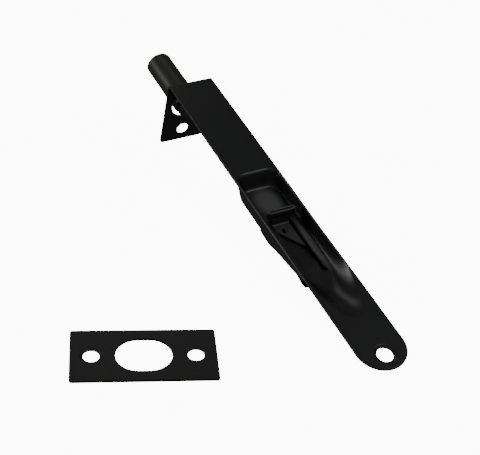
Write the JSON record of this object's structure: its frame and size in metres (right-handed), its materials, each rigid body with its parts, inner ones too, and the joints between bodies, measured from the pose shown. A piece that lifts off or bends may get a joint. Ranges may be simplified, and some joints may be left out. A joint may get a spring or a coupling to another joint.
{
  "type": "flush edge bolt with strike plate",
  "caption": "Pressed black steel flush bolt for a door edge: a round bolt slid by a finger tab in a dished recess of a folded faceplate, with its loose oval-holed strike plate.",
  "frame": {"origin": "on the bolt's axis, in the plane of the end flange's outer face", "axes": "+X the way the bolt is thrown, +Z out of the faceplate's front, +Y across the faceplate"},
  "size_m": [0.1874, 0.1125, 0.032],
  "materials": {
    "faceplate_coat": "satin black powder coat",
    "tab_coat": "satin black powder coat",
    "strike_coat": "satin black powder coat",
    "pin_finish": "warm grey-black satin coat on turned steel",
    "rod_finish": "black oxide on drawn steel rod",
    "inner_finish": "black oxide on pressed steel",
    "spring_finish": "blackened spring steel"
  },
  "bodies": {
    "plate": {"faceplate": "faceplate_coat"},
    "bolt": {"bolt_pin": "pin_finish", "bolt_rod": "rod_finish", "carriage": "inner_finish", "finger_tab": "tab_coat", "friction_spring": "spring_finish", "tab_rivet": "inner_finish"},
    "strike": {"strike_plate": "strike_coat"}
  },
  "joints": [
    {"name": "bolt_slide", "type": "slide", "parent": "plate", "child": "bolt", "axis": [1, 0, 0], "range_m": [-0.0269, 0]},
    {"name": "strike_lift", "type": "slide", "parent": "plate", "child": "strike", "axis": [0.1914, 0, 0.9815], "range_m": [0, 0.02]}
  ]
}
